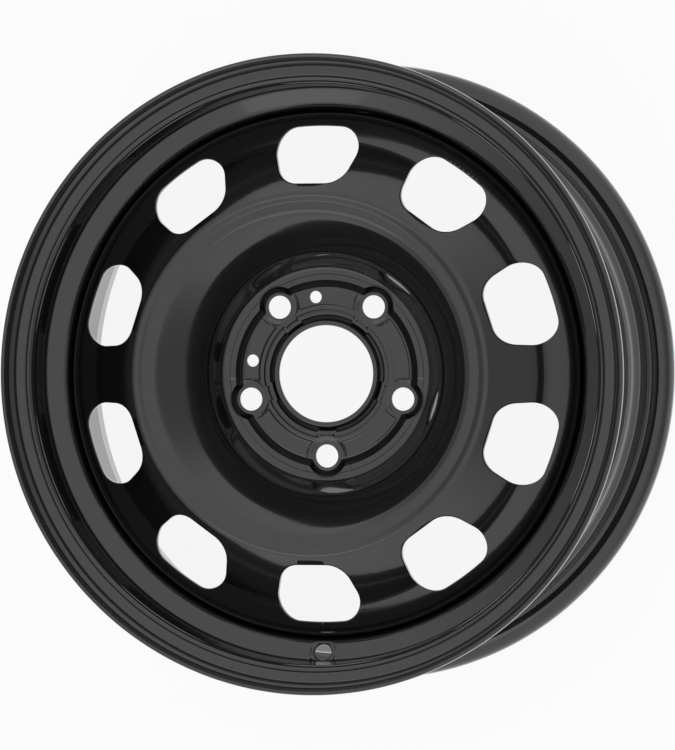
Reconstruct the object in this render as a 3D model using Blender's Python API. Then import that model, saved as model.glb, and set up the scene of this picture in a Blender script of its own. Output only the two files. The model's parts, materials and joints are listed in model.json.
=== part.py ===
"""Pressed steel wheel for a passenger car: rolled rim, stamped disc and the welds that join them.

Metres, +Z up. The wheel lies on its inboard flange with its spin axis on Z and its outboard
face up. The origin is the centre of the rim, so each flange is half a width from it.
"""

import math

import bmesh
import bpy

# Rim, all on the tyre side of its sheet
RIM_WIDTH = 0.1651
BEAD_RADIUS = 0.2028
RIM_SHEET = 0.0026
FLANGE_HEIGHT = 0.0173
FLANGE_CURL = 0.0104
LIP_TURN = math.radians(15)
BEAD_CORNER = 0.0065
SEAT_TAPER = math.radians(5)
SEAT_LENGTH = 0.0195
HUMP_HEIGHT = 0.0011
HUMP_WIDTH = 0.0060
WELL_DEPTH = 0.0173
WELL_SET_IN = 0.02735
WELL_WALL = 0.0062
WELL_FLOOR = 0.0370
WELL_INNER_WALL = 0.0200
BARREL_DROP = 0.0052
HUMP_FOOT = 0.0090
SEAT_BEND = 0.0080
HUMP_BEND = 0.0030
WELL_BEND = 0.0055
BARREL_BEND = 0.0120

# Valve hole, through the outboard wall of the well
VALVE_HOLE = 0.0115
VALVE_PAD = 0.0176
VALVE_PAD_DEPTH = 0.0004
VALVE_CUT_REACH = 0.0100
VALVE_ANGLE = math.radians(270)

# Disc, all on its outboard side
DISC_SHEET = 0.0040
SKIRT_GAP = 0.0003
SKIRT_END = 0.0180
SKIRT_BEND = 0.0125
WEB_SLOPE = math.radians(39)
WEB_FOOT_SLOPE = math.radians(28)
WEB_CREASE_SHARE = 0.623
CREST_RADIUS = 0.1240
CREST_HEIGHT = 0.0910
CREST_BEND = 0.0070
STEP_IN = 0.0100
STEP_HEIGHT = 0.0880
STEP_GROOVE_IN = 0.0050
STEP_GROOVE_DEPTH = 0.0016
STEP_BEND = 0.0040
GROOVE_BEND = 0.0030
CREASE_BEND = 0.0200
BOWL_TOP_IN = 0.0145

# Bowl wall, steep below its knee, which is placed by shares of the wall's run and rise
KNEE_RUN_SHARE = 0.33
KNEE_RISE_SHARE = 0.463
KNEE_BEND = 0.0220
BOWL_FOOT_BEND = 0.0030

# Hub area
NAVE_RADIUS = 0.0738
NAVE_HEIGHT = 0.0420
RING_INNER = 0.0651
MOAT_INNER = 0.0610
MOAT_DEPTH = 0.0032
MOAT_WALL = 0.0010
LAND_INNER = 0.0446
LEDGE_INNER = 0.0412
LEDGE_DEPTH = 0.0014
LEDGE_WALL = 0.0008
GROOVE_DEPTH = 0.0030
COLLAR_OUTER = 0.0367
COLLAR_HEIGHT = 0.0018
COLLAR_WALL = 0.0016
BORE_RADIUS = 0.03355
BORE_LAND = 0.0024
BORE_CHAMFER = 0.0018
HUB_FACE_INNER = 0.0605
HUB_FACE_WIDTH = 0.0050
HUB_FACE_DROP = 0.0034
HUB_FACE_WALL = 0.0025

# Bolt circle
BOLT_COUNT = 5
BOLT_CIRCLE = 0.1143
BOLT_HOLE = 0.0160
BOLT_SEAT = 0.0208
BOLT_SEAT_DEPTH = 0.0012
BOLT_ANGLE = math.radians(270)
POCKET_INNER = 0.0108
POCKET_OUTER = 0.0142
POCKET_SWEEP = math.radians(66)
POCKET_STEP = 0.0002
TOOL_HOLE = 0.0085
TOOL_HOLE_RADIUS = 0.0538
TOOL_HOLE_LAG = math.radians(27.8)

# Windows, placed by their share of the web's run from the crest to the skirt
WINDOW_COUNT = 10
WINDOW_ANGLE = math.radians(90)
WINDOW_INNER_SHARE = 0.121
WINDOW_OUTER_SHARE = 0.809
WINDOW_INNER_WIDTH = 0.0420
WINDOW_OUTER_WIDTH = 0.0722
WINDOW_CORNER = 0.0160

# Welds under the disc
WELD_COUNT = 5
WELD_LEG = 0.0040
WELD_LENGTH = 0.0800
WELD_ANGLE = math.radians(72)

SIDES = 60
CUT_REACH = 0.0300
CUT_CLEAR = 0.0010

for item in list(bpy.data.objects):
    bpy.data.objects.remove(item)


def finish(name, colour, roughness):
    """A coat: black for the wheel, a shade off it for the welds under the same paint."""
    material = bpy.data.materials.new(name)
    material.use_nodes = True
    shader = material.node_tree.nodes["Principled BSDF"]
    shader.inputs["Base Color"].default_value = (*colour, 1.0)
    shader.inputs["Roughness"].default_value = roughness
    shader.inputs["Metallic"].default_value = 0.0
    return material


def bent(corners, step=math.radians(22)):
    """A line through the corners (r, z, bend radius), each corner rounded by an arc."""
    line = [corners[0][:2]]
    for before, here, after in zip(corners, corners[1:], corners[2:]):
        into = (here[0] - before[0], here[1] - before[1])
        out = (after[0] - here[0], after[1] - here[1])
        turn = math.atan2(into[0] * out[1] - into[1] * out[0], into[0] * out[0] + into[1] * out[1])
        room = 0.49 * min(math.hypot(*into), math.hypot(*out))
        reach = min(here[2] * abs(math.tan(turn / 2)), room)
        if reach < 1e-5:
            line.append(here[:2])
            continue
        radius = reach / abs(math.tan(turn / 2))
        heading = math.atan2(into[1], into[0])
        start = (here[0] - reach * math.cos(heading), here[1] - reach * math.sin(heading))
        side = math.copysign(math.pi / 2, turn)
        middle_x = start[0] + radius * math.cos(heading + side)
        middle_y = start[1] + radius * math.sin(heading + side)
        steps = max(1, round(abs(turn) / step))
        for index in range(steps + 1):
            angle = heading - side + turn * index / steps
            line.append((middle_x + radius * math.cos(angle), middle_y + radius * math.sin(angle)))
    line.append(corners[-1][:2])
    return line


def beside(line, distance):
    """The line moved sideways by the distance, to the left of its direction."""
    moved = []
    for index, here in enumerate(line):
        before = line[max(index - 1, 0)]
        after = line[min(index + 1, len(line) - 1)]
        first = math.atan2(here[1] - before[1], here[0] - before[0])
        second = math.atan2(after[1] - here[1], after[0] - here[0])
        if index == 0:
            first = second
        if index == len(line) - 1:
            second = first
        half = math.remainder(second - first, 2 * math.pi) / 2
        normal = first + half + math.pi / 2
        reach = distance / math.cos(half)
        moved.append((here[0] + reach * math.cos(normal), here[1] + reach * math.sin(normal)))
    return moved


def mesh_object(name, points, faces, material=None):
    mesh = bpy.data.meshes.new(name)
    mesh.from_pydata(points, [], faces)
    solid = bmesh.new()
    solid.from_mesh(mesh)
    bmesh.ops.recalc_face_normals(solid, faces=solid.faces)
    solid.to_mesh(mesh)
    solid.free()
    made = bpy.data.objects.new(name, mesh)
    bpy.context.scene.collection.objects.link(made)
    if material:
        mesh.materials.append(material)
    return made


def ring_object(name, loop, material=None):
    """The closed outline (r, z) turned once round Z."""
    count = len(loop)
    points = []
    faces = []
    for side in range(SIDES):
        angle = 2 * math.pi * side / SIDES
        for radius, height in loop:
            points.append((radius * math.cos(angle), radius * math.sin(angle), height))
        here = side * count
        there = (side + 1) % SIDES * count
        for index in range(count):
            after = (index + 1) % count
            faces.append((here + index, here + after, there + after, there + index))
    return mesh_object(name, points, faces, material)


def prisms(name, outlines, low, high):
    """One cutter made of upright prisms over flat outlines (x, y)."""
    points = []
    faces = []
    for outline in outlines:
        first = len(points)
        count = len(outline)
        points += [(x, y, low) for x, y in outline]
        points += [(x, y, high) for x, y in outline]
        faces.append(tuple(first + index for index in range(count)))
        faces.append(tuple(first + count + index for index in range(count)))
        for index in range(count):
            after = (index + 1) % count
            faces.append((first + index, first + after, first + count + after, first + count + index))
    return helper(mesh_object(name, points, faces))


def lathed(name, outline, places, sides):
    """One cutter or boss made of round pieces: outline (r, z) from axis to axis, turned at each place."""
    points = []
    faces = []
    for place in places:
        first = len(points)
        rows = outline[1:-1]
        points.append(place((0.0, 0.0, outline[0][1])))
        points.append(place((0.0, 0.0, outline[-1][1])))
        for radius, height in rows:
            for side in range(sides):
                angle = 2 * math.pi * side / sides
                points.append(place((radius * math.cos(angle), radius * math.sin(angle), height)))
        for side in range(sides):
            after = (side + 1) % sides
            base = first + 2
            last = base + (len(rows) - 1) * sides
            faces.append((first, base + side, base + after))
            faces.append((first + 1, last + after, last + side))
            for row in range(len(rows) - 1):
                here = base + row * sides
                there = here + sides
                faces.append((here + side, there + side, there + after, here + after))
    return helper(mesh_object(name, points, faces))


def helper(made):
    made.hide_render = True
    made.display_type = "WIRE"
    return made


def boolean(target, tool, operation):
    step = target.modifiers.new(tool.name, "BOOLEAN")
    step.operation = operation
    step.solver = "EXACT"
    step.object = tool


def turned(angle, x, y):
    return (x * math.cos(angle) - y * math.sin(angle), x * math.sin(angle) + y * math.cos(angle))


def spread(count, start):
    return [start + 2 * math.pi * index / count for index in range(count)]


def at(radius, angle, height=0.0, lean=0.0):
    """A place on the wheel: local +X points outward, and lean tips local +Z toward the axis."""

    def place(point):
        x, y, z = point
        out = x * math.cos(lean) - z * math.sin(lean)
        up = x * math.sin(lean) + z * math.cos(lean)
        return (*turned(angle, radius + out, y), height + up)

    return place


def rounded(corners, radius):
    """A flat outline (x, y) with each corner rounded."""
    doubled = corners[-1:] + corners + corners[:1]
    line = bent([(x, y, radius) for x, y in doubled], math.radians(15))
    return line[1:-1]


def flange(side):
    """Tyre side of one flange, from its lip down to the bead seat. side is 1 outboard, -1 inboard."""
    centre = BEAD_RADIUS + FLANGE_HEIGHT - FLANGE_CURL
    face = RIM_WIDTH / 2
    line = []
    for index in range(5):
        angle = LIP_TURN - (LIP_TURN + math.pi / 2) * index / 4
        height = face + FLANGE_CURL + FLANGE_CURL * math.sin(angle)
        line.append((centre + FLANGE_CURL * math.cos(angle), side * height))
    return line


def seat_radius(height):
    """Tyre side of the tapered bead seat."""
    return BEAD_RADIUS - (RIM_WIDTH / 2 - abs(height)) * math.tan(SEAT_TAPER)


def well_wall():
    """Top and foot (r, z) of the well's outboard wall."""
    top = RIM_WIDTH / 2 - WELL_SET_IN
    return (seat_radius(top), top), (BEAD_RADIUS - WELL_DEPTH, top - WELL_WALL)


def rim_line():
    """Tyre side of the rim, from the outboard lip to the inboard lip."""
    face = RIM_WIDTH / 2
    hump = face - SEAT_LENGTH
    wall_top, wall_foot = well_wall()
    well = wall_foot[0]
    floor_end = wall_foot[1] - WELL_FLOOR
    barrel = BEAD_RADIUS - BARREL_DROP
    outer = [(seat_radius(hump), hump), (seat_radius(hump) + HUMP_HEIGHT, hump - HUMP_WIDTH / 2)]
    middle = [
        (*flange(1)[-1], 0.0),
        (BEAD_RADIUS, face, BEAD_CORNER),
        (*outer[0], SEAT_BEND),
        (*outer[1], HUMP_BEND),
        (*wall_top, WELL_BEND),
        (*wall_foot, WELL_BEND),
        (well, floor_end, BARREL_BEND),
        (barrel, floor_end - WELL_INNER_WALL, BARREL_BEND),
        (barrel, HUMP_FOOT - hump, SEAT_BEND),
        (outer[1][0], HUMP_WIDTH / 2 - hump, HUMP_BEND),
        (outer[0][0], -hump, SEAT_BEND),
        (BEAD_RADIUS, -face, BEAD_CORNER),
        (*flange(-1)[-1], 0.0),
    ]
    return flange(1)[:-1] + bent(middle, math.radians(45)) + flange(-1)[::-1][1:]


def make_rim(material):
    outer = rim_line()
    inner = beside(outer, -RIM_SHEET)
    rim = ring_object("rim", outer + inner[::-1], material)
    top, foot = well_wall()
    slope = math.atan2(top[1] - foot[1], top[0] - foot[0])
    place = at((top[0] + foot[0]) / 2, VALVE_ANGLE, (top[1] + foot[1]) / 2, slope)
    pad = RIM_SHEET - VALVE_PAD_DEPTH
    outline = [
        (0, -VALVE_CUT_REACH),
        (VALVE_HOLE / 2, -VALVE_CUT_REACH),
        (VALVE_HOLE / 2, pad),
        (VALVE_PAD / 2, pad),
        (VALVE_PAD / 2, VALVE_CUT_REACH),
        (0, VALVE_CUT_REACH),
    ]
    boolean(rim, lathed("valve_cutter", outline, [place], 24), "DIFFERENCE")
    return rim


def skirt_radius():
    return BEAD_RADIUS - WELL_DEPTH - RIM_SHEET - SKIRT_GAP


def web_radius(share):
    """Radius at a share of the web's run, 0 at the crest and 1 at the skirt."""
    return CREST_RADIUS + share * (skirt_radius() - CREST_RADIUS)


def outer_line():
    """Outboard side of the disc from the ring up the bowl, over the crest and down to the skirt's end."""
    top = CREST_RADIUS - BOWL_TOP_IN
    knee = NAVE_RADIUS + KNEE_RUN_SHARE * (top - NAVE_RADIUS)
    knee_height = NAVE_HEIGHT + KNEE_RISE_SHARE * (STEP_HEIGHT - NAVE_HEIGHT)
    groove = (STEP_HEIGHT + CREST_HEIGHT) / 2 - STEP_GROOVE_DEPTH
    crease_radius = web_radius(WEB_CREASE_SHARE)
    crease = CREST_HEIGHT - (crease_radius - CREST_RADIUS) * math.tan(WEB_SLOPE)
    foot = crease - (skirt_radius() - crease_radius) * math.tan(WEB_FOOT_SLOPE)
    return [
        (RING_INNER, NAVE_HEIGHT, 0.0),
        (NAVE_RADIUS, NAVE_HEIGHT, BOWL_FOOT_BEND),
        (knee, knee_height, KNEE_BEND),
        (top, STEP_HEIGHT, CREST_BEND),
        (CREST_RADIUS - STEP_IN, STEP_HEIGHT, STEP_BEND),
        (CREST_RADIUS - STEP_GROOVE_IN, groove, GROOVE_BEND),
        (CREST_RADIUS, CREST_HEIGHT, CREST_BEND),
        (crease_radius, crease, CREASE_BEND),
        (skirt_radius(), foot, SKIRT_BEND),
        (skirt_radius(), SKIRT_END, 0.0),
    ]


def disc_loop():
    land = NAVE_HEIGHT
    moat = NAVE_HEIGHT - MOAT_DEPTH
    ledge = NAVE_HEIGHT - LEDGE_DEPTH
    groove = NAVE_HEIGHT - GROOVE_DEPTH
    collar = NAVE_HEIGHT + COLLAR_HEIGHT
    under = NAVE_HEIGHT - DISC_SHEET
    hub_face = under - HUB_FACE_DROP
    face = [
        (BORE_RADIUS, collar),
        (COLLAR_OUTER, collar),
        (COLLAR_OUTER + COLLAR_WALL, groove),
        (LEDGE_INNER - LEDGE_WALL, groove),
        (LEDGE_INNER, ledge),
        (LAND_INNER - LEDGE_WALL, ledge),
        (LAND_INNER, land),
        (MOAT_INNER, land),
        (MOAT_INNER + MOAT_WALL, moat),
        (RING_INNER - MOAT_WALL, moat),
    ]
    outer = bent(outer_line(), math.radians(30))
    back = beside(outer, -DISC_SHEET)
    rear = [
        (BORE_RADIUS, collar - BORE_LAND),
        (BORE_RADIUS + BORE_CHAMFER, hub_face),
        (LEDGE_INNER, hub_face),
        (LEDGE_INNER + HUB_FACE_WALL, under),
        (HUB_FACE_INNER - HUB_FACE_WALL, under),
        (HUB_FACE_INNER, hub_face),
        (HUB_FACE_INNER + HUB_FACE_WIDTH, hub_face),
    ]
    return face + outer + back[:1:-1] + rear[::-1]


def window_outline(angle):
    foot = web_radius(WINDOW_INNER_SHARE)
    crown = web_radius(WINDOW_OUTER_SHARE)
    inner = WINDOW_INNER_WIDTH / 2
    outer = WINDOW_OUTER_WIDTH / 2
    shoulder = math.sqrt(crown**2 - outer**2)
    edge = inner + (outer - inner) * (shoulder - foot) / (crown - foot)
    corners = [(foot, -inner), (shoulder, -edge), (crown, 0.0), (shoulder, edge), (foot, inner)]
    return [turned(angle, x, y) for x, y in rounded(corners, WINDOW_CORNER)]


def pocket_outline(angle):
    arc = []
    for radius, way in ((POCKET_OUTER, 1), (POCKET_INNER, -1)):
        for index in range(9):
            swing = way * POCKET_SWEEP * (index / 4 - 1)
            x = BOLT_CIRCLE / 2 + radius * math.cos(swing)
            arc.append(turned(angle, x, radius * math.sin(swing)))
    return arc


def make_disc(material):
    disc = ring_object("wheel_disc", disc_loop(), material)
    bolts = spread(BOLT_COUNT, BOLT_ANGLE)
    low = NAVE_HEIGHT - CUT_REACH
    high = CREST_HEIGHT + CUT_REACH
    windows = [window_outline(angle) for angle in spread(WINDOW_COUNT, WINDOW_ANGLE)]
    boolean(disc, prisms("window_cutter", windows, low, high), "DIFFERENCE")

    above = NAVE_HEIGHT + CUT_CLEAR
    floor = NAVE_HEIGHT - MOAT_DEPTH + POCKET_STEP
    pockets = [pocket_outline(angle) for angle in bolts]
    boolean(disc, prisms("pocket_cutter", pockets, floor, above), "DIFFERENCE")

    seat = NAVE_HEIGHT - BOLT_SEAT_DEPTH
    spread_out = CUT_CLEAR * (BOLT_SEAT - BOLT_HOLE) / 2 / BOLT_SEAT_DEPTH
    bolt = [
        (0, low),
        (BOLT_HOLE / 2, low),
        (BOLT_HOLE / 2, seat),
        (BOLT_SEAT / 2 + spread_out, above),
        (0, above),
    ]
    places = [at(BOLT_CIRCLE / 2, angle) for angle in bolts]
    boolean(disc, lathed("bolt_cutter", bolt, places, 24), "DIFFERENCE")

    tool = [(0, low), (TOOL_HOLE / 2, low), (TOOL_HOLE / 2, above), (0, above)]
    places = [at(TOOL_HOLE_RADIUS, bolts[index] - TOOL_HOLE_LAG) for index in (3, 4)]
    boolean(disc, lathed("tool_hole_cutter", tool, places, 16), "DIFFERENCE")
    return disc


def make_weld(number, angle, material):
    """A round bead in the corner between the skirt's end and the well."""
    outer = skirt_radius()
    top = SKIRT_END - SKIRT_GAP
    section = [(outer, top)]
    for lean in (0, 30, 60, 90):
        across = WELD_LEG * math.sin(math.radians(lean))
        down = WELD_LEG * math.cos(math.radians(lean))
        section.append((outer - across, top - down))
    count = len(section)
    steps = 10
    points = []
    for step in range(steps + 1):
        turn = angle + (step / steps - 0.5) * WELD_LENGTH / outer
        for radius, height in section:
            points.append((radius * math.cos(turn), radius * math.sin(turn), height))
    faces = [tuple(range(count)), tuple(range(steps * count, (steps + 1) * count))]
    for here in range(0, steps * count, count):
        there = here + count
        for index in range(count):
            after = (index + 1) % count
            faces.append((here + index, here + after, there + after, there + index))
    return mesh_object(f"weld_{number}", points, faces, material)


def smooth(made):
    made.data.shade_smooth()
    made.data.set_sharp_from_angle(angle=math.radians(28))


black = finish("black coat", (0.012, 0.012, 0.013), 0.32)
seam = finish("black coat over weld", (0.014, 0.014, 0.015), 0.45)
smooth(make_rim(black))
smooth(make_disc(black))
for index, place_angle in enumerate(spread(WELD_COUNT, WELD_ANGLE)):
    smooth(make_weld(index + 1, place_angle, seam))
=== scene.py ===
# %% [markdown]
# # A pressed steel wheel
# A steel car wheel is two pieces of sheet steel. The rim is a strip rolled into a hoop, with a
# flange at each edge for the tyre and a well in the middle. The disc is one stamping, dished and
# pierced, pressed into the well and welded there. The whole wheel is then dipped and painted black.
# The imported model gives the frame: where each solid is, and how large. This lesson dresses it with
# finer meshes, a real finish and a studio.

# %% Load the frame
import json
import math

import bpy
from mathutils import Matrix, Vector

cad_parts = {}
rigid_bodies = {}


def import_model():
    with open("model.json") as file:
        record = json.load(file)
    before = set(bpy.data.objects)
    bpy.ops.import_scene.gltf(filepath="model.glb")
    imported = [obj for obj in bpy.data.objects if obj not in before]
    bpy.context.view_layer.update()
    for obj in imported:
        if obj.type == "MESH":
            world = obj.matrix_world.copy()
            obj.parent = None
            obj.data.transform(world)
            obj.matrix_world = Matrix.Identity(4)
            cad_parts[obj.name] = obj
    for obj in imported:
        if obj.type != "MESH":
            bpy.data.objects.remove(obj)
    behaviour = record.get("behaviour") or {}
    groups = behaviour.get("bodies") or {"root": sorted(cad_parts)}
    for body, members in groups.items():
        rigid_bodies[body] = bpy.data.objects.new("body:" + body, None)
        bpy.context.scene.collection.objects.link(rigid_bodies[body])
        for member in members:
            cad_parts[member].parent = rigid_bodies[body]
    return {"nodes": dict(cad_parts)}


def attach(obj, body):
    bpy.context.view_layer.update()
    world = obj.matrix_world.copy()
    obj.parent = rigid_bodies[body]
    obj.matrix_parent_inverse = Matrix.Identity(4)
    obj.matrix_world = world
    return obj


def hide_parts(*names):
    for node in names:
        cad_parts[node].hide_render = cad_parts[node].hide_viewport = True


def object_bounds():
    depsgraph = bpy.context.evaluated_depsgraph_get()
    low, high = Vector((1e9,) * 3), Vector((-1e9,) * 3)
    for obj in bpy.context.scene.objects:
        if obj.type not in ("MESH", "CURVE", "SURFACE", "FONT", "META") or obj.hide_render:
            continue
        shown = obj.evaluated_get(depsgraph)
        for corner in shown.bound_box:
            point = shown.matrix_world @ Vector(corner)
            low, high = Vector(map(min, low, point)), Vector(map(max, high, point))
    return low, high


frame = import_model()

cad_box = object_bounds()
print("nodes:", ", ".join(sorted(frame["nodes"])))
print("box of the solids:", cad_box)

# %% [markdown]
# ## Lengths and sheet outlines
# Sheet metal is easiest to draw as one line across the sheet's face, with a bend radius at each
# corner, and a copy of that line one sheet thickness away. Millimetres read best for a drawing, so
# every length below is in millimetres until a mesh is made.


# %% Lines with bends
LARGEST_SHARE = 0.49
NO_BEND = 0.01


def bent(corners, step=7.0):
    """A line through the corners (r, z, bend radius), with an arc point each few degrees.

    A bend takes up at most LARGEST_SHARE of the shorter run beside it.
    """
    line = [corners[0][:2]]
    for before, here, after in zip(corners, corners[1:], corners[2:]):
        into = (here[0] - before[0], here[1] - before[1])
        out = (after[0] - here[0], after[1] - here[1])
        turn = math.atan2(into[0] * out[1] - into[1] * out[0], into[0] * out[0] + into[1] * out[1])
        room = LARGEST_SHARE * min(math.hypot(*into), math.hypot(*out))
        reach = min(here[2] * abs(math.tan(turn / 2)), room)
        if reach < NO_BEND:
            line.append(here[:2])
            continue
        radius = reach / abs(math.tan(turn / 2))
        heading = math.atan2(into[1], into[0])
        side = math.copysign(math.pi / 2, turn)
        middle_x = here[0] - reach * math.cos(heading) + radius * math.cos(heading + side)
        middle_y = here[1] - reach * math.sin(heading) + radius * math.sin(heading + side)
        steps = max(2, round(math.degrees(abs(turn)) / step))
        for index in range(steps + 1):
            angle = heading - side + turn * index / steps
            line.append((middle_x + radius * math.cos(angle), middle_y + radius * math.sin(angle)))
    line.append(corners[-1][:2])
    return line


def beside(line, distance):
    """The line moved sideways, to the left of its direction."""
    moved = []
    for index, here in enumerate(line):
        before = line[max(index - 1, 0)]
        after = line[min(index + 1, len(line) - 1)]
        first = math.atan2(here[1] - before[1], here[0] - before[0])
        second = math.atan2(after[1] - here[1], after[0] - here[0])
        if index == 0:
            first = second
        if index == len(line) - 1:
            second = first
        half = math.remainder(second - first, 2 * math.pi) / 2
        reach = distance / math.cos(half)
        normal = first + half + math.pi / 2
        moved.append((here[0] + reach * math.cos(normal), here[1] + reach * math.sin(normal)))
    return moved


print("a right-angled bend of 5 mm becomes", len(bent([(0, 0, 0), (9, 0, 5), (9, 9, 0)])), "points")

# %% [markdown]
# A long flat face next to a bend shades wrongly, because its corner normals lean into the bend.
# Two extra points just inside each end of the flat hold the normals upright, as a modeller's
# support loops do.


# %% Support points
def supported(line, near=0.5, longest=9.0):
    """The line with points added close to the ends of each long run, and along it."""
    made = [line[0]]
    for start, end in zip(line, line[1:]):
        length = math.dist(start, end)
        shares = []
        if length > 4 * near:
            pieces = max(1, math.ceil((length - 2 * near) / longest))
            middle = length - 2 * near
            shares = [(near + middle * index / pieces) / length for index in range(pieces + 1)]
        for share in shares:
            made.append(tuple(a + share * (b - a) for a, b in zip(start, end)))
        made.append(end)
    return made


def smooth_step(low, high, value):
    share = min(max((value - low) / (high - low), 0.0), 1.0)
    return share * share * (3 - 2 * share)


print("a flat of 40 mm between two bends gets", len(supported([(0, 0), (40, 0)])) - 2, "points")

# %% [markdown]
# ## Turning an outline round the axis
# A wheel is a lathe shape with a few exceptions. The Screw modifier could turn its outline, but the
# outline would be the same all the way round. So each piece is a grid made in code: rows are
# points of the outline, and columns are angles, which stand closer where something small
# interrupts the round, such as a bolt pad or the valve hole. Because the outline may depend on
# the angle, those pads grow straight out of the grid and keep clean edges.


# %% Grid of rows and columns
def columns(centres, half_width, fine, coarse):
    """Angles round the circle, spaced finely within half_width of each centre; all in degrees."""
    angles = []
    for index, centre in enumerate(centres):
        following = centres[(index + 1) % len(centres)] + (360 if index + 1 == len(centres) else 0)
        dense = round(2 * half_width / fine)
        angles += [centre - half_width + 2 * half_width * step / dense for step in range(dense)]
        gap = following - centre - 2 * half_width
        sparse = round(gap / coarse)
        angles += [centre + half_width + gap * step / sparse for step in range(sparse)]
    return angles


def turned_mesh(name, angles, outline_at):
    """A closed ring: outline_at(angle) gives the closed outline (r, z) at that angle."""
    points = []
    faces = []
    count = len(outline_at(angles[0]))
    for angle in angles:
        across = math.cos(math.radians(angle)) / 1000
        up = math.sin(math.radians(angle)) / 1000
        points += [(radius * across, radius * up, height / 1000) for radius, height in outline_at(angle)]
    for column in range(len(angles)):
        here = column * count
        there = (column + 1) % len(angles) * count
        for row in range(count):
            after = (row + 1) % count
            faces.append((here + row, there + row, there + after, here + after))
    return plain_mesh(name, points, faces)


def plain_mesh(name, points, faces):
    mesh = bpy.data.meshes.new(name)
    mesh.from_pydata(points, [], faces)
    mesh.update()
    made = bpy.data.objects.new(name, mesh)
    bpy.context.scene.collection.objects.link(made)
    return made


print("a ring with one fine stretch of 20 degrees has", len(columns([0], 10, 1, 2)), "columns")

# %% [markdown]
# ## The rim
# The hoop starts as a flat strip, is butt-welded, then rolled between shaped rollers. Its outline is
# therefore one sheet, 2.6 mm thick, with soft bends: flange, bead seat, a small safety hump, the
# well, and the same again on the inboard side. The lip of each flange is the rounded edge of the
# strip itself.

# %% Rim outline
RIM_HALF = 82.55
BEAD = 202.8
SHEET = 2.6
CURL = 10.4
FLANGE = 17.3
LIP_TURN = 15
CURL_STEPS = 13
FLANGE_FROM = 80
WELL_DEPTH = 17.3
BARREL_DEPTH = 5.2
WELL = BEAD - WELL_DEPTH
BARREL = BEAD - BARREL_DEPTH
HUMP_FROM_BEAD = 19.5
HUMP_RISE = 1.1
HUMP_RUN = 3
VALVE_WALL_TOP = 55.2
VALVE_WALL_FOOT = 49
WELL_END = 12
BARREL_START = -8
HUMP_RAMP = 9
SEAT_TAPER = math.tan(math.radians(5))
GROOVE_RADII = (212.7, 204.7)
GROOVE = ((-1.5, 0.0), (-0.7, 0.28), (0.0, 0.95), (0.4, 0.4), (1.1, 0.0))


def seat(height):
    """Tyre side of the tapered bead seat."""
    return BEAD - (RIM_HALF - abs(height)) * SEAT_TAPER


def flange_curl(side):
    """Tyre side of one flange, from its lip down to its face."""
    centre = BEAD + FLANGE - CURL
    line = []
    for step in range(CURL_STEPS + 1):
        angle = math.radians(LIP_TURN - (LIP_TURN + 90) * step / CURL_STEPS)
        height = RIM_HALF + CURL + CURL * math.sin(angle)
        line.append((centre + CURL * math.cos(angle), side * height))
    return line


def height_on(line, radius, side):
    """Height of the outline's flange face at a radius, on the side whose heights have that sign."""
    for (r0, z0), (r1, z1) in zip(line, line[1:]):
        if z0 * side > FLANGE_FROM and (r0 - radius) * (r1 - radius) <= 0 and r0 != r1:
            return z0 + (z1 - z0) * (radius - r0) / (r1 - r0)


def rolled(line):
    """Presses two fine grooves into the open face of each flange, where the rollers' edges ran."""
    made = []
    for here, after in zip(line, line[1:]):
        near = any(GROOVE[0][0] < here[0] - radius < GROOVE[-1][0] for radius in GROOVE_RADII)
        if not near or abs(here[1]) < FLANGE_FROM:
            made.append(here)
        for radius in GROOVE_RADII:
            if (here[0] - radius) * (after[0] - radius) < 0 and abs(here[1]) > FLANGE_FROM:
                side = math.copysign(1, here[1])
                shape = GROOVE if after[0] > here[0] else GROOVE[::-1]
                for out, fall in shape:
                    made.append((radius + out, height_on(line, radius + out, side) - side * fall))
    return made + line[-1:]


def rim_outline():
    """The sheet's tyre side and air side, each from the outboard lip to the inboard lip."""
    hump = RIM_HALF - HUMP_FROM_BEAD
    outer = flange_curl(1)
    inner = flange_curl(-1)[::-1]
    middle = [
        (*outer[-1], 0),
        (BEAD, RIM_HALF, 6.5),
        (seat(hump), hump, 8),
        (seat(hump) + HUMP_RISE, hump - HUMP_RUN, 3),
        (seat(VALVE_WALL_TOP), VALVE_WALL_TOP, 5.5),
        (WELL, VALVE_WALL_FOOT, 5.5),
        (WELL, WELL_END, 12),
        (BARREL, BARREL_START, 12),
        (BARREL, HUMP_RAMP - hump, 8),
        (seat(hump) + HUMP_RISE, HUMP_RUN - hump, 3),
        (seat(hump), -hump, 8),
        (BEAD, -RIM_HALF, 6.5),
        (*inner[0], 0),
    ]
    tyre_side = outer[:-1] + supported(bent(middle, 8)) + inner[1:]
    air_side = beside(tyre_side, -SHEET)
    return tyre_side, rolled(air_side)


tyre_side, air_side = rim_outline()
print("rim outline:", len(tyre_side), "points on the tyre side,", len(air_side), "on the air side")


# %% [markdown]
# The strip's edges were sheared and then ironed by the rollers, so the lips are rounded, not square.
# The valve hole stands in the outboard wall of the well. The press flattens a small pad round it
# first, so that the rubber valve seals. The pad is a shallow dent in the grid.


# %% Rim grid with the valve pad
EDGE_ROUND = 1.1
VALVE_ANGLE = 270
VALVE_RADIUS = 192.4
PAD_WIDE = 8.7
PAD_HIGH = 7.3
PAD_ROUND = 5.0
PAD_DEPTH = 0.6
PAD_MARGIN = 1
FACE_REACH = 0.6
WALL_RADII = (183, 199.5)
WALL_HEIGHTS = (50, 60)
WALL_PITCH = 0.65
RIM_COLUMNS = (3.6, 0.16, 1.4)


def rounded_ends(front, back, radius):
    """One closed outline from the two faces of a sheet, with its cut edges rounded."""
    loop = [(*point, 0) for point in front] + [(*point, 0) for point in back[::-1]]
    for index in (0, len(front) - 1, len(front), len(loop) - 1):
        loop[index] = (*loop[index][:2], radius)
    return bent(loop[-1:] + loop + loop[:1], 30)[1:-1]


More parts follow.
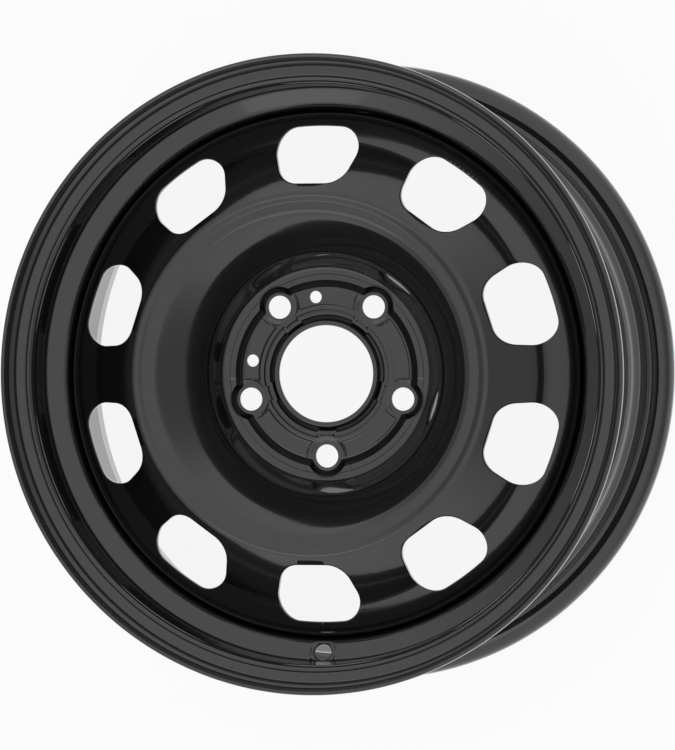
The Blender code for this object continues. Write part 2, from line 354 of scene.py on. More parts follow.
def pad_dent(across, along):
    """Depth of the pad at a place measured from the valve hole, in mm."""
    x = max(abs(across) - PAD_WIDE + PAD_ROUND, 0)
    y = max(abs(along) - PAD_HIGH + PAD_ROUND, 0)
    return PAD_DEPTH * (1 - smooth_step(-0.5, 0.3, math.hypot(x, y) - PAD_ROUND))


def on_valve_wall(here):
    return WALL_RADII[0] < here[0] < WALL_RADII[1] and WALL_HEIGHTS[0] < here[1] < WALL_HEIGHTS[1]


def finer(line, pitch):
    """The line with extra points along the open face of the valve's wall."""
    made = []
    for here, after in zip(line, line[1:]):
        pieces = 1
        if on_valve_wall(here) and WALL_RADII[0] < after[0] < WALL_RADII[1]:
            pieces = max(1, round(math.dist(here, after) / pitch))
        made += [tuple(a + step / pieces * (b - a) for a, b in zip(here, after)) for step in range(pieces)]
    return made + line[-1:]


rim_loop = rounded_ends(tyre_side, finer(air_side, WALL_PITCH), EDGE_ROUND)
wall_ends = next(
    sorted(pair)
    for pair in zip(air_side, air_side[1:])
    if min(pair)[0] < VALVE_RADIUS < max(pair)[0] and WALL_HEIGHTS[0] < pair[0][1] < WALL_HEIGHTS[1]
)
WALL_LOW, WALL_HIGH = wall_ends
WALL_SLOPE = math.atan2(WALL_HIGH[1] - WALL_LOW[1], WALL_HIGH[0] - WALL_LOW[0])
print(f"the valve's wall slopes {math.degrees(WALL_SLOPE):.0f} degrees from the wheel's plane")


# %% Make the rim
VALVE_HEIGHT = WALL_LOW[1] + (VALVE_RADIUS - WALL_LOW[0]) * math.tan(WALL_SLOPE)


def rim_at(angle):
    """The rim's outline at an angle, dented where the valve's pad is."""
    across = math.radians(math.remainder(angle - VALVE_ANGLE, 360)) * VALVE_RADIUS
    if abs(across) > PAD_WIDE + PAD_MARGIN:
        return rim_loop
    line = []
    for radius, height in rim_loop:
        out = radius - VALVE_RADIUS
        up = height - VALVE_HEIGHT
        along = out * math.cos(WALL_SLOPE) + up * math.sin(WALL_SLOPE)
        off = up * math.cos(WALL_SLOPE) - out * math.sin(WALL_SLOPE)
        dent = pad_dent(across, along) if abs(off) < FACE_REACH else 0.0
        line.append((radius + dent * math.sin(WALL_SLOPE), height - dent * math.cos(WALL_SLOPE)))
    return line


rim = turned_mesh("painted_rim", columns([VALVE_ANGLE], *RIM_COLUMNS), rim_at)
print("rim:", len(rim.data.polygons), "faces")

# %% [markdown]
# ## Holes with soft edges
# Punched holes in painted steel have an edge that is never razor sharp. A Bevel after the cut could
# round it, but it stumbles over the Boolean's slivers. A cutter whose side flares out where it
# passes each face of the sheet leaves that small round by itself, in one Boolean.


# %% Cutters
def lathe_cutters(name, outline, places, sides=48):
    """Round cutters: outline (r, z) from axis to axis in mm, each set in the wheel by a matrix."""
    points = []
    faces = []
    for place in places:
        first = len(points)
        points.append(tuple(place @ Vector((0, 0, outline[0][1] / 1000))))
        points.append(tuple(place @ Vector((0, 0, outline[-1][1] / 1000))))
        rows = outline[1:-1]
        for radius, height in rows:
            for side in range(sides):
                turn = 2 * math.pi * side / sides
                spot = Vector((radius * math.cos(turn), radius * math.sin(turn), height)) / 1000
                points.append(tuple(place @ spot))
        base = first + 2
        last = base + (len(rows) - 1) * sides
        for side in range(sides):
            after = (side + 1) % sides
            faces.append((first, base + after, base + side))
            faces.append((first + 1, last + side, last + after))
            for here in range(base, last, sides):
                faces.append((here + side, here + after, here + sides + after, here + sides + side))
    return plain_mesh(name, points, faces)


def cut_away(target, cutters):
    """Boolean the cutters out of the target for good, and remove them."""
    for cutter in cutters:
        step = target.modifiers.new(cutter.name, "BOOLEAN")
        step.solver = "EXACT"
        step.object = cutter
    graph = bpy.context.evaluated_depsgraph_get()
    cut = bpy.data.meshes.new_from_object(target.evaluated_get(graph))
    cut.name = target.data.name
    target.modifiers.clear()
    target.data = cut
    for cutter in cutters:
        bpy.data.objects.remove(cutter)


def on_wheel(radius, angle, height=0.0, lean=0.0):
    """A place on the wheel, in mm and degrees: local X points outward, lean tips Z to the axis."""
    turn = Matrix.Rotation(math.radians(angle), 4, "Z")
    shift = Matrix.Translation((radius / 1000, 0, height / 1000))
    return turn @ shift @ Matrix.Rotation(-lean, 4, "Y")


metres = [round(value, 3) for value in on_wheel(100, 0).translation]
print("100 mm out at 0 degrees is, in metres,", metres)


# %% Cut the valve hole
VALVE_HOLE = 5.75
valve_outline = [
    (0, -9),
    (VALVE_HOLE + 1.2, -9),
    (VALVE_HOLE + 1.2, -3.2),
    (VALVE_HOLE + 0.55, -2.75),
    (VALVE_HOLE + 0.15, -2.4),
    (VALVE_HOLE, -2.0),
    (VALVE_HOLE, -1.35),
    (VALVE_HOLE + 0.08, -1.1),
    (VALVE_HOLE + 0.25, -0.92),
    (VALVE_HOLE + 0.5, -0.84),
    (VALVE_HOLE + 0.62, -1.2),
    (VALVE_HOLE + 0.82, -1.28),
    (VALVE_HOLE + 1.15, -0.5),
    (VALVE_HOLE + 1.6, 8),
    (0, 8),
]
valve_place = on_wheel(VALVE_RADIUS, VALVE_ANGLE, VALVE_HEIGHT, WALL_SLOPE)
cut_away(rim, [lathe_cutters("valve_cutter", valve_outline, [valve_place], 64)])
print("rim after the valve hole:", len(rim.data.polygons), "faces")

# %% [markdown]
# ## The disc
# The disc is drawn from 4 mm sheet in several press strokes. From the middle outward it has a raised
# collar round the bore, a groove, a ledge, a flat land with the five bolt pads, a narrow moat that
# swings out round each pad, a ring, the deep bowl, a double crest, the sloping web with ten windows,
# and a skirt. Between two pads everything is round. Near a pad, the ledge and the moat leave their
# circles, so their radius is a function of the angle from the nearest bolt.

# %% Nave lines
NAVE = 42.0
BOLT_RADIUS = 57.15
BOLTS = [270 + 72 * index for index in range(5)]
MOAT_INNER = 61.0
MOAT_OUTER = 65.1
MOAT_WIDTH = 4.1
PAD_INNER = 10.75
PAD_OUTER = 14.2
SEAT_RING = 10.5
PAD_EDGE = 13.8
SEAT_DROP = 0.45
POCKET_DROP = 0.95
BOLT_GROOVE = 0.9
BOLT_GROOVE_RING = 12.0
BOLT_GROOVE_WIDTH = 1.1
BOLT_GROOVE_SIDE = (-3, 7)
BOLT_GROOVE_LAND = (45.5, 49.5)
POCKET_INNER = (47.3, 49.0)
POCKET_OUTER = (58.6, 60.2)
SHELF_DROP = 0.4
SHELF_TURN = 15.1
LEDGE_TURN = 9.5
LAND_TURN = 6.3
RING_LINE = 69.2
RING_LINE_DEPTH = 0.2
WALL_FOOT = 72.5


def from_bolt(angle):
    """Degrees from the nearest bolt."""
    return math.remainder(angle - BOLTS[0], 72)


def round_bolt(radius, turn):
    """Distance from the axis of a circle round the bolt, on its outer side."""
    along = BOLT_RADIUS * math.sin(math.radians(turn))
    spare = max(radius * radius - along * along, 0.0)
    return BOLT_RADIUS * math.cos(math.radians(turn)) + math.sqrt(spare)


def soft_max(a, b, blend=1.6):
    share = max(blend - abs(a - b), 0.0) / blend
    return max(a, b) + share * share * blend / 4


def moat_edges(turn):
    """Inner and outer edge of the moat, which swings out round each pad."""
    inner = soft_max(MOAT_INNER, round_bolt(PAD_INNER, turn))
    return inner, soft_max(MOAT_OUTER, round_bolt(PAD_OUTER, turn), 0.8)


def land_height(radius, turn):
    """Height of the land: a flat seat ring and a shallow cone at each bolt, pockets in between."""
    x = radius * math.cos(math.radians(turn)) - BOLT_RADIUS
    y = radius * math.sin(math.radians(turn))
    away = math.hypot(x, y)
    seat = SEAT_DROP * min(max((PAD_EDGE - away) / (PAD_EDGE - SEAT_RING), 0.0), 1.0)
    groove = BOLT_GROOVE * math.exp(-(((away - BOLT_GROOVE_RING) / BOLT_GROOVE_WIDTH) ** 2))
    seat += groove * smooth_step(*BOLT_GROOVE_SIDE, -x) * smooth_step(*BOLT_GROOVE_LAND, radius)
    pocket = smooth_step(PAD_EDGE, PAD_EDGE + 0.6, away)
    pocket *= smooth_step(*POCKET_INNER, radius) * (1 - smooth_step(*POCKET_OUTER, radius))
    return NAVE - seat - POCKET_DROP * pocket


for turn in (0, 12, 20, 36):
    inner_edge, outer_edge = moat_edges(turn)
    print(f"{turn:3} degrees from a bolt, the moat runs from {inner_edge:.1f} to {outer_edge:.1f}")

# %% [markdown]
# Rows must be the same in number at every angle, so each feature gives a fixed list of points, and
# the land between the ledge and the moat is spread evenly over what room is left. The moat is a V
# with steep walls, so it mirrors only its own black paint and reads as a dark line all round.

# %% Nave rows
BORE = 33.55
COLLAR = [
    (BORE, 42.5),
    (33.6, 43.2),
    (33.9, 43.65),
    (34.4, 43.8),
    (36.1, 43.8),
    (36.6, 43.65),
    (36.9, 43.2),
    (37.5, 41.5),
    (38.3, 39.5),
]
COLLAR_FOOT = 38.3
LEDGE = (41.2, 43.6)
LEDGE_STEP = (1.3, 1.5)
LEDGE_HEIGHT = 40.6
BOX_HEIGHT = 40.5
BOX_DROP = 1.3
LAND_EDGE = 44.6
LAND_ROWS = 20
MOAT_IN = ((-1.6, 0.0), (-1.0, 0.07), (-0.5, 0.28), (0.0, 0.7))
MOAT_BED = ((0.22, 1.8), (0.5, 3.4), (0.78, 2.0))
MOAT_OUT = ((-0.12, 0.45), (-0.02, 0.14), (0.12, 0.0))


def ledge_rows(turn):
    """The ledge steps in towards the bore at each bolt, and leaves a small box on either side."""
    near = 1 - smooth_step(LEDGE_TURN - 0.4, LEDGE_TURN + 0.4, abs(turn))
    land = LAND_EDGE - LEDGE_STEP[1] * (1 - smooth_step(LAND_TURN - 0.5, LAND_TURN + 0.5, abs(turn)))
    inner = LEDGE[0] - LEDGE_STEP[0] * near
    outer = LEDGE[1] - LEDGE_STEP[1] * near
    box = BOX_HEIGHT - BOX_DROP * smooth_step(0.7, 1.6, land - outer)
    deep = (COLLAR_FOOT + inner - 0.5) / 2
    rows = [(deep, 38.7), (inner - 0.5, 39.9), (inner - 0.1, 40.4), (inner + 0.3, LEDGE_HEIGHT)]
    rows += [(outer - 0.25, LEDGE_HEIGHT), (outer - 0.05, BOX_HEIGHT), (outer + 0.12, box)]
    top = land_height(land + 0.3, turn)
    rows += [(land - 0.35, box), (land - 0.15, box + 0.25 * (top - box))]
    return rows + [(land + 0.05, box + 0.75 * (top - box)), (land + 0.3, top)]


def moat_rows(turn):
    """Down the moat's inner wall, up its outer wall, over the shelf and across the ring."""
    inner, outer = moat_edges(turn)
    width = outer - inner
    shelf = NAVE - SHELF_DROP * (1 - smooth_step(SHELF_TURN - 0.4, SHELF_TURN + 0.4, abs(turn)))
    depth = width / MOAT_WIDTH
    top = land_height(inner - 1.6, turn)
    rows = [(inner + out, top - fall * depth) for out, fall in MOAT_IN]
    rows += [(inner + share * width, NAVE - fall * depth) for share, fall in MOAT_BED]
    crease = max(RING_LINE, outer + 0.75)
    edge = shelf if outer < RING_LINE - 0.6 else NAVE
    rows += [(outer + out, edge - fall * depth) for out, fall in MOAT_OUT]
    bed = NAVE - RING_LINE_DEPTH
    rows += [(crease - 0.3, edge), (crease - 0.08, min(edge, bed)), (crease + 0.08, bed)]
    return rows + [(crease + 0.3, NAVE), (max(WALL_FOOT - 0.3, crease + 0.5), NAVE)]


def nave_front(angle):
    """Outboard rows (r, z) from the bore to the foot of the bowl."""
    turn = from_bolt(angle)
    rows = COLLAR + ledge_rows(turn)
    start = rows[-1][0] + 0.35
    moat = moat_rows(turn)
    end = moat[0][0]
    for index in range(LAND_ROWS):
        radius = start + (end - start) * index / LAND_ROWS
        rows.append((radius, land_height(radius, turn)))
    return rows + moat


print("nave:", len(nave_front(BOLTS[0])), "rows")

# %% [markdown]
# The wall of the bowl leaves the ring in a tight fillet, climbs at up to 62 degrees, bends over a
# knee to 50 degrees and goes on at about 45 to the crest. Its black mirror shows the wheel itself
# well past the knee, and the bolt holes as three bright slivers, so the slopes are given directly
# and the heights summed from them. The crest has two ridges with a groove between them, which
# stiffens the disc. The web falls away at 39 degrees, and at 28 past its crease.

# %% Bowl, crest and web
SKIRT = 182.87
DISC_SHEET = 4.0
WALL_TOP = 89.4
CREST_TOP = WALL_TOP + 3
CREST_GROOVE = 119
CREST = 124
WEB_CREASE = 160.5
WEB_SLOPE = math.radians(39)
FOOT_SLOPE = math.radians(28)
SKIRT_END = 18
DISC_COLUMNS = (17.5, 0.55, 2.2)
WALL_SLOPES = [
    (72.5, 0),
    (73.4, 29.0),
    (74.5, 46.8),
    (76.2, 57.9),
    (78.2, 61.5),
    (80.9, 62.3),
    (82.8, 59.8),
    (84.0, 57.2),
    (85.9, 53.4),
    (87.7, 51.6),
    (90.0, 50.6),
    (94.5, 49.9),
    (97.0, 48.6),
    (99.0, 46.8),
    (101.0, 45.9),
    (104.0, 45.2),
    (106.5, 44.2),
    (108.3, 41),
    (110.0, 34),
    (111.2, 23),
    (112.5, 11.3),
    (114.0, 0),
]


def wall_line():
    """The bowl's wall (r, z), its heights scaled so that it ends on the inner ridge."""
    line = [(WALL_FOOT, 0.0)]
    for (r0, s0), (r1, s1) in zip(WALL_SLOPES, WALL_SLOPES[1:]):
        for step in range(2):
            slope = math.radians(s0 + (s1 - s0) * (step + 0.5) / 2)
            radius, height = line[-1]
            line.append((radius + (r1 - r0) / 2, height + (r1 - r0) / 2 * math.tan(slope)))
    scale = (WALL_TOP - NAVE) / line[-1][1]
    print(f"the wall's heights are scaled by {scale:.3f}")
    return [(radius, NAVE + height * scale) for radius, height in line]


wall = wall_line()
web_drop = (WEB_CREASE - CREST) * math.tan(WEB_SLOPE)
foot_drop = web_drop + (SKIRT - WEB_CREASE) * math.tan(FOOT_SLOPE)
disc_corners = [
    (*wall[-1], 0),
    (CREST_GROOVE, WALL_TOP - 0.1, 3),
    (CREST, CREST_TOP, 7),
    (WEB_CREASE, CREST_TOP - web_drop, 20),
    (SKIRT, CREST_TOP - foot_drop, 12.5),
    (SKIRT, SKIRT_END, 0.9),
    (SKIRT - DISC_SHEET, SKIRT_END, 0),
]
outer_line = supported(bent(disc_corners, 8), 0.6, 11.0)[:-1]
print("bowl:", len(wall), "rows; crest, web and skirt:", len(outer_line), "rows")

# %% [markdown]
# The inboard side is the same sheet seen from behind, one thickness further in. It has no fine
# features, so its rows stand wider apart. Only the hub's contact ring is drawn by itself.

# %% Inboard side of the disc
back_corners = bent(disc_corners[:-2] + [(SKIRT, SKIRT_END, 0)], 20)
back_line = beside(back_corners, -DISC_SHEET)
under_wall = beside(wall[4::4], -DISC_SHEET)[::-1]
CONTACT = 34.6
RELIEF = 38
rear_nave = bent(
    [
        (*under_wall[-1], 0),
        (65.5, CONTACT, 3),
        (60.5, CONTACT, 1.5),
        (58, RELIEF, 1.5),
        (43.7, RELIEF, 1.5),
        (41.2, CONTACT, 1.5),
        (35.35, CONTACT, 1),
        (BORE, 41.4, 0.5),
        (BORE, 42.5, 0),
    ],
    30,
)
rear_rows = supported(back_line[:0:-1], 1.5, 30) + supported(under_wall + rear_nave[1:-1], 1.3, 30)
print("inboard side:", len(rear_rows), "rows")


def disc_at(angle):
    """The disc's closed outline at an angle: front, wall, crest, web, skirt and back."""
    return nave_front(angle) + wall + outer_line[1:] + rear_rows


disc = turned_mesh("painted_disc", columns(BOLTS, *DISC_COLUMNS), disc_at)
print("disc:", len(disc.data.polygons), "faces")

# %% [markdown]
# The windows are wider towards the rim, with broad round corners. Their cutter follows the slope of
# the web, so the round on the edge has the same size all the way along it.

# %% Window cutters
WINDOWS = [90 + 36 * index for index in range(10)]
WEB_FROM = 120
WINDOW_FOOT = 131.1
WINDOW_CROWN = 171.4
WINDOW_ROUND = 16
FOOT_HALF = 21.0
CROWN_HALF = 36.1
SWELL_RUN = 20
EDGE = 0.9


def web_height(line, radius):
    """Height of the web at a radius, read off an outline."""
    for (r0, z0), (r1, z1) in zip(line, line[1:]):
        if r0 <= radius <= r1 and r1 > r0 and r0 > WEB_FROM:
            return z0 + (z1 - z0) * (radius - r0) / (r1 - r0)
    return line[-1][1]


def window_outline():
    """Plan of one window (out, across), evenly dense, its crown swelling out to a circle."""
    shoulder = math.sqrt(WINDOW_CROWN**2 - CROWN_HALF**2)
    height = WINDOW_CROWN - WINDOW_FOOT
    edge = FOOT_HALF + (CROWN_HALF - FOOT_HALF) * (shoulder - WINDOW_FOOT) / height
    corners = [(WINDOW_FOOT, -FOOT_HALF, WINDOW_ROUND), (shoulder, -edge, WINDOW_ROUND)]
    corners += [(shoulder, edge, WINDOW_ROUND), (WINDOW_FOOT, FOOT_HALF, WINDOW_ROUND)]
    line = []
    for x, y in supported(bent(corners[-1:] + corners + corners[:1], 6)[1:-1], 1.0, 4.0):
        swell = math.sqrt(WINDOW_CROWN**2 - y * y) - shoulder
        line.append((x + swell * smooth_step(shoulder - SWELL_RUN, shoulder, x), y))
    return line


def widened(outline, distance):
    """The closed outline moved outward all round."""
    return beside(outline[-1:] + outline + outline[:1], -distance)[1:-1]


plan = window_outline()
print("window outline:", len(plan), "points")


# %% Cut the windows and holes
def window_rows():
    """(offset, outline it is measured from, height above that outline) from bottom to top."""
    rows = [(EDGE + 0.6, back_line, -30), (EDGE + 0.6, back_line, -0.45)]
    for turn in (70, 45, 20, 0):
        lean = math.radians(turn)
        rows.append((EDGE * (1 - math.cos(lean)), back_line, EDGE * (1 - math.sin(lean))))
    for turn in (0, 20, 45, 70):
        lean = math.radians(turn)
        rows.append((EDGE * (1 - math.cos(lean)), outer_line, -EDGE * (1 - math.sin(lean))))
    return rows + [(EDGE + 0.9, outer_line, 0.4), (EDGE + 0.9, outer_line, 30)]


def window_cutters():
    """Ten plugs in one mesh, each row set at the web's own height."""
    points = []
    faces = []
    count = len(plan)
    rows = window_rows()
    for angle in WINDOWS:
        first = len(points)
        across = math.cos(math.radians(angle))
        up = math.sin(math.radians(angle))
        for offset, line, above in rows:
            for x, y in widened(plan, offset):
                height = web_height(line, math.hypot(x, y)) + above
                points.append(((x * across - y * up) / 1000, (x * up + y * across) / 1000, height / 1000))
        faces.append(tuple(first + index for index in range(count))[::-1])
        faces.append(tuple(first + (len(rows) - 1) * count + index for index in range(count)))
        for here in range(first, first + (len(rows) - 1) * count, count):
            for index in range(count):
                after = (index + 1) % count
                faces.append((here + index, here + after, here + count + after, here + count + index))
    return plain_mesh("window_cutters", points, faces)


TOOL_RADIUS = 53.8
TOOL_LAG = 27.8
bolt_outline = [
    (0, 25),
    (9.2, 25),
    (9.2, 37.2),
    (8.5, 38.05),
    (8.1, 38.6),
    (8.0, 39.2),
    (8.0, 40.85),
    (8.07, 41.15),
    (8.25, 41.38),
    (8.5, 41.5),
    (8.9, 41.6),
    (9.4, 42.2),
    (9.6, 50),
    (0, 50),
]
tool_outline = [
    (0, 25),
    (5.2, 25),
    (5.2, 37.3),
    (4.6, 38.05),
    (4.3, 38.5),
    (4.25, 39.2),
    (4.25, 41.1),
    (4.35, 41.4),
    (4.7, 41.65),
    (5.6, 42.1),
    (5.8, 50),
    (0, 50),
]
bolt_places = [on_wheel(BOLT_RADIUS, angle) for angle in BOLTS]
bolt_cutters = lathe_cutters("bolt_cutters", bolt_outline, bolt_places)
tool_places = [on_wheel(TOOL_RADIUS, BOLTS[index] - TOOL_LAG) for index in (3, 4)]
tool_cutters = lathe_cutters("tool_cutters", tool_outline, tool_places, 32)
cut_away(disc, [window_cutters(), bolt_cutters, tool_cutters])
print("disc after its holes:", len(disc.data.polygons), "faces")

# %% [markdown]
# ## The welds
# Five runs of MAG weld join the skirt's end to the well, out of sight on the inboard side. A weld
# run is a row of overlapping puddles, so the bead's section swells and shrinks along its length and
# tapers out at both ends. A bump texture could draw the puddles on a plain tube, but the mesh that
# is exported would stay a plain tube.

# %% Weld runs
WELDS = [72 * index for index in range(1, 6)]
WELD_LEG = 4.0
WELD_HALF = 12.5
WELD_STEPS = 150
PUDDLE = 2.6
WELD_CORNER = (SKIRT - 0.02, 17.72)


def weld_points(angle, share):
    """One section of the bead, share 0 to 1 along its length."""
    turn = angle + WELD_HALF * (2 * share - 1)
    along = share * 2 * math.radians(WELD_HALF) * SKIRT
    ripple = abs(math.sin(math.pi * along / PUDDLE))
    taper = math.sqrt(max(1 - abs(2 * share - 1) ** 12, 0.02))
    leg = WELD_LEG * taper * (0.86 + 0.14 * ripple)
    line = [WELD_CORNER]
    for lean in range(0, 91, 15):
        bulge = leg * (0.92 + 0.08 * math.sin(math.radians(2 * lean)))
        across = bulge * math.sin(math.radians(lean))
        down = bulge * math.cos(math.radians(lean))
        line.append((WELD_CORNER[0] - across, WELD_CORNER[1] - down))
    turn = math.radians(turn)
    return [(r * math.cos(turn) / 1000, r * math.sin(turn) / 1000, z / 1000) for r, z in line]


def weld_runs():
    points = []
    faces = []
    for angle in WELDS:
        first = len(points)
        for step in range(WELD_STEPS + 1):
            points += weld_points(angle, step / WELD_STEPS)
        count = (len(points) - first) // (WELD_STEPS + 1)
        last = first + WELD_STEPS * count
        faces.append(tuple(first + index for index in range(count)))
        faces.append(tuple(last + index for index in range(count))[::-1])
        for here in range(first, last, count):
            for index in range(count):
                after = (index + 1) % count
                faces.append((here + index, here + count + index, here + count + after, here + after))
    return plain_mesh("weld_runs", points, faces)


welds = weld_runs()
print("welds:", len(welds.data.polygons), "faces")

# %% [markdown]
# Everything is shaded smooth, with a hard edge kept only where two faces meet sharply. Weighting the
# normals by face area keeps the flats flat next to the Boolean's small faces.


# %% Shading
def shade(piece, sharp):
    """Smooth shading, with a hard edge where two faces meet at more than sharp degrees."""
    piece.data.shade_smooth()
    piece.data.set_sharp_from_angle(angle=math.radians(sharp))
    weighted = piece.modifiers.new("flat faces lead", "WEIGHTED_NORMAL")
    weighted.keep_sharp = True
    weighted.weight = 50


shade(rim, 32)
shade(disc, 32)
shade(welds, 60)
print("shaded smooth:", ", ".join(piece.name for piece in (rim, disc, welds)))

# %% [markdown]
# ## The finish
# New steel wheels are dipped in a black electro-coat and sprayed with a glossy black top coat. Seen
# from straight above, such paint is a dark mirror: it shows about a fifteenth of the light that
# stands in front of it and almost none of its own. So a face that mirrors the white studio reads as
# mid grey, and one that mirrors another part of the wheel reads as black.
#
# The Principled shader's coat layer is the clear skin, so no second shader is needed. Sprayed paint
# has orange peel, waves of about 3 mm that stand a few thousandths of a millimetre high, and its
# gloss drifts over a few centimetres, where the spray lay thicker or thinner. Two noises of those
# sizes give both. Over a weld the steel itself is rough, so the layer under the skin is duller
# there and the ripples are deeper. From here on lengths are in metres, as Blender's own are.


# %% Colour and node helpers
def linear(hex_colour):
    """An sRGB hex colour as linear RGBA."""
    parts = [int(hex_colour[index : index + 2], 16) / 255 for index in (1, 3, 5)]
    return (*[part / 12.92 if part <= 0.04045 else ((part + 0.055) / 1.055) ** 2.4 for part in parts], 1.0)


def add_node(tree, kind, links=None, **settings):
    """A node with its settings, and links from its inputs to other nodes' outputs."""
    node = tree.nodes.new(kind)
    for name, value in settings.items():
        if name in node.inputs:
            node.inputs[name].default_value = value
        else:
            setattr(node, name, value)
    for name, output in (links or {}).items():
        tree.links.new(output, node.inputs[name])
    return node


def new_material(name):
    material = bpy.data.materials.new(name)
    material.use_nodes = True
    tree = material.node_tree
    return material, tree, tree.nodes["Principled BSDF"]


print("#808080 is", round(linear("#808080")[0], 3), "as linear light")


# %% Glossy black coat
PEEL = 0.0028
CLOUD = 0.045


def black_coat(name, dark, light, roughness, peel_depth):
    """Glossy black paint on steel: a soft base layer under a clear, faintly rippled skin."""
    material, tree, shader = new_material(name)
    place = add_node(tree, "ShaderNodeTexCoord").outputs["Object"]
    cloud = add_node(tree, "ShaderNodeTexNoise", {"Vector": place}, Scale=1 / CLOUD, Detail=3.0)
    cloud_level = cloud.outputs["Fac"]
    tone = add_node(tree, "ShaderNodeMix", {"Factor": cloud_level}, data_type="RGBA")
    tone.inputs[6].default_value = linear(dark)
    tone.inputs[7].default_value = linear(light)
    tree.links.new(tone.outputs[2], shader.inputs["Base Color"])
    gloss = add_node(tree, "ShaderNodeMapRange", {"Value": cloud_level})
    gloss.inputs["To Min"].default_value = roughness - 0.05
    gloss.inputs["To Max"].default_value = roughness + 0.05
    tree.links.new(gloss.outputs["Result"], shader.inputs["Roughness"])
    peel = add_node(tree, "ShaderNodeTexNoise", {"Vector": place}, Scale=1 / PEEL, Detail=1.0)
    height = peel.outputs["Fac"]
    bump = add_node(tree, "ShaderNodeBump", {"Height": height}, Strength=1.0, Distance=peel_depth)
    tree.links.new(bump.outputs["Normal"], shader.inputs["Normal"])
    tree.links.new(bump.outputs["Normal"], shader.inputs["Coat Normal"])
    shader.inputs["IOR"].default_value = 1.4
    shader.inputs["Coat Weight"].default_value = 1.0
    shader.inputs["Coat Roughness"].default_value = 0.05
    shader.inputs["Coat IOR"].default_value = 1.5
    return material


coat = black_coat("glossy black coat", "#08090a", "#0c0d0f", 0.13, 0.000006)
weld_coat = black_coat("glossy black coat over weld", "#0a0a0c", "#0f0f12", 0.36, 0.00005)
for piece, finish in ((rim, coat), (disc, coat), (welds, weld_coat)):
    piece.data.materials.clear()
    piece.data.materials.append(finish)
print("materials:", coat.name, "and", weld_coat.name)

# %% Fasten the pieces
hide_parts("rim")
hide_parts("wheel_disc")
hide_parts("weld_1", "weld_2", "weld_3", "weld_4", "weld_5")
for piece in (rim, disc, welds):
    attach(piece, "root")
print("riding on the root body:", ", ".join(piece.name for piece in (rim, disc, welds)))

# %% [markdown]
# ## The studio
# The wheel lies on its inboard flange and the camera looks down on it from far away, a little to the
# right of the axis, as a catalogue picture is taken. A Track To constraint could aim it, but not
# roll it by the last fraction of a degree, so its three axes are given as a matrix.

# %% Camera
TILT = math.radians(14.05)
RISE = math.radians(0.53)
ROLL = math.radians(-0.187)
DISTANCE = 3.9629
ASIDE = -0.00175
BELOW = -0.00129
AIM_HEIGHT = 0.00297
LENS = 301.66
back = Vector((math.sin(TILT) * math.cos(RISE), math.sin(RISE), math.cos(TILT) * math.cos(RISE)))
up = (Vector((0, 1, 0)) - back * back.y).normalized()
right = up.cross(back)
right, up = math.cos(ROLL) * right + math.sin(ROLL) * up, math.cos(ROLL) * up - math.sin(ROLL) * right
spot = back * DISTANCE + right * ASIDE + up * BELOW + Vector((0, 0, AIM_HEIGHT))
camera = bpy.data.objects.new("camera", bpy.data.cameras.new("camera"))
camera.matrix_world = Matrix((right, up, back)).transposed().to_4x4()
camera.location = spot
camera.data.sensor_fit = "HORIZONTAL"
camera.data.sensor_width = 36
camera.data.lens = LENS
camera.data.clip_end = 50
bpy.context.scene.collection.objects.link(camera)
bpy.context.scene.camera = camera
bpy.context.scene.view_settings.view_transform = "Standard"
print("camera at", [round(value, 3) for value in camera.location])

# %% [markdown]
# The floor is white paper. To the camera and in reflections it is mostly a plain white glow, and
# the rest of it is lit like any other surface, so the wheel keeps a soft shadow under it.

# %% Floor
FLOOR_HEIGHT = cad_box[0][2] - 0.0002
FLOOR_GLOW = 0.9
FLOOR_HALF = 40.0
floor_mesh = bpy.data.meshes.new("floor")
floor_signs = ((-1, -1), (1, -1), (1, 1), (-1, 1))
floor_points = [(x * FLOOR_HALF, y * FLOOR_HALF, FLOOR_HEIGHT) for x, y in floor_signs]
floor_mesh.from_pydata(floor_points, [], [(0, 1, 2, 3)])
floor = bpy.data.objects.new("floor", floor_mesh)
bpy.context.scene.collection.objects.link(floor)
floor_material, floor_tree, floor_shader = new_material("white paper floor")
floor_shader.inputs["Base Color"].default_value = linear("#f7f7f7")
floor_shader.inputs["Roughness"].default_value = 0.9
path = add_node(floor_tree, "ShaderNodeLightPath")
seen = add_node(floor_tree, "ShaderNodeMath", operation="MAXIMUM")
floor_tree.links.new(path.outputs["Is Camera Ray"], seen.inputs[0])
floor_tree.links.new(path.outputs["Is Glossy Ray"], seen.inputs[1])
share = add_node(floor_tree, "ShaderNodeMath", operation="MULTIPLY")
share.inputs[1].default_value = FLOOR_GLOW
floor_tree.links.new(seen.outputs[0], share.inputs[0])
glow = add_node(floor_tree, "ShaderNodeEmission", Color=(1, 1, 1, 1), Strength=1.0)
floor_mix = add_node(floor_tree, "ShaderNodeMixShader", {"Fac": share.outputs[0]})
floor_tree.links.new(floor_shader.outputs[0], floor_mix.inputs[1])
floor_tree.links.new(glow.outputs[0], floor_mix.inputs[2])
floor_out = next(node for node in floor_tree.nodes if node.type == "OUTPUT_MATERIAL")
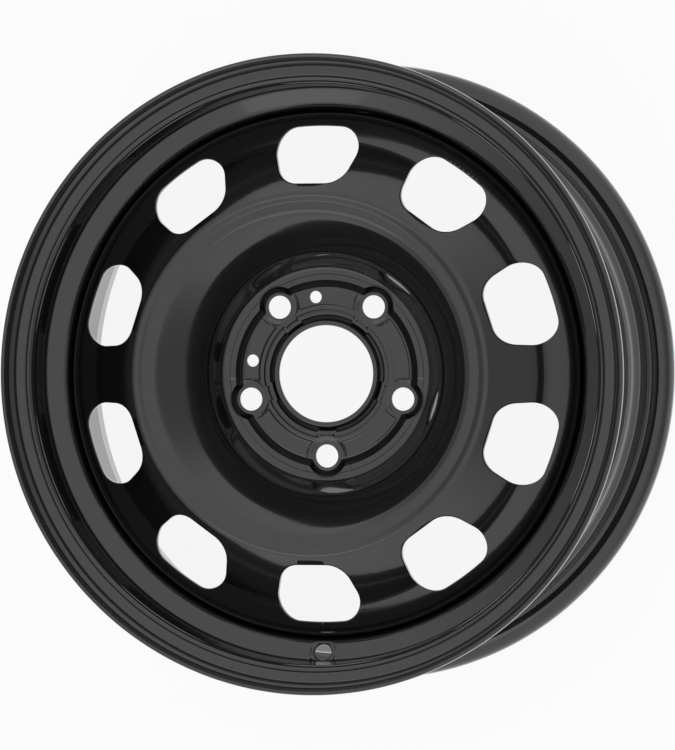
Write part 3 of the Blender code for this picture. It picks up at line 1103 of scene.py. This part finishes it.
floor_tree.links.new(floor_mix.outputs[0], floor_out.inputs["Surface"])
floor_mesh.materials.append(floor_material)
print("floor", round(-1000 * FLOOR_HEIGHT, 1), "mm below the rim's centre")

# %% [markdown]
# The wheel lies in a white tent: light comes evenly from all round, and somewhat less from low on
# the left and the right. One softbox makes the tent a little brighter at the lower left.

# %% Tent and softbox
LEFT_FADE = (-0.35, -0.95, 0.45)
RIGHT_FADE = (0.5, 1.0, 0.5)
world = bpy.data.worlds.new("white tent")
world.use_nodes = True
tent = world.node_tree
direction = add_node(tent, "ShaderNodeTexCoord").outputs["Generated"]
split = add_node(tent, "ShaderNodeSeparateXYZ", {"Vector": direction})


def fade(start, end, dim):
    """A smooth fade of the tent's level from full at start to dim at end, along world X."""
    along = split.outputs["X"]
    node = add_node(tent, "ShaderNodeMapRange", {"Value": along}, interpolation_type="SMOOTHSTEP")
    low, high = sorted((start, end))
    node.inputs["From Min"].default_value = low
    node.inputs["From Max"].default_value = high
    node.inputs["To Min"].default_value = 1.0 if low == start else dim
    node.inputs["To Max"].default_value = dim if low == start else 1.0
    return node.outputs["Result"]


level = add_node(tent, "ShaderNodeMath", operation="MULTIPLY")
tent.links.new(fade(*LEFT_FADE), level.inputs[0])
tent.links.new(fade(*RIGHT_FADE), level.inputs[1])
tent.nodes["Background"].inputs["Color"].default_value = (1, 1, 1, 1)
tent.links.new(level.outputs[0], tent.nodes["Background"].inputs["Strength"])
bpy.context.scene.world = world


def softbox(name, place, wide, high, watts):
    """A flat rectangular lamp that faces the wheel."""
    lamp = bpy.data.objects.new(name, bpy.data.lights.new(name, "AREA"))
    lamp.data.shape = "RECTANGLE"
    lamp.data.size = wide
    lamp.data.size_y = high
    lamp.data.energy = watts
    lamp.location = place
    lamp.rotation_euler = Vector(place).to_track_quat("Z", "Y").to_euler()
    bpy.context.scene.collection.objects.link(lamp)


softbox("lower left", (-0.8, -1.4, 2.8), 1.6, 1.6, 4)
print("lamps:", ", ".join(lamp.name for lamp in bpy.data.lights))
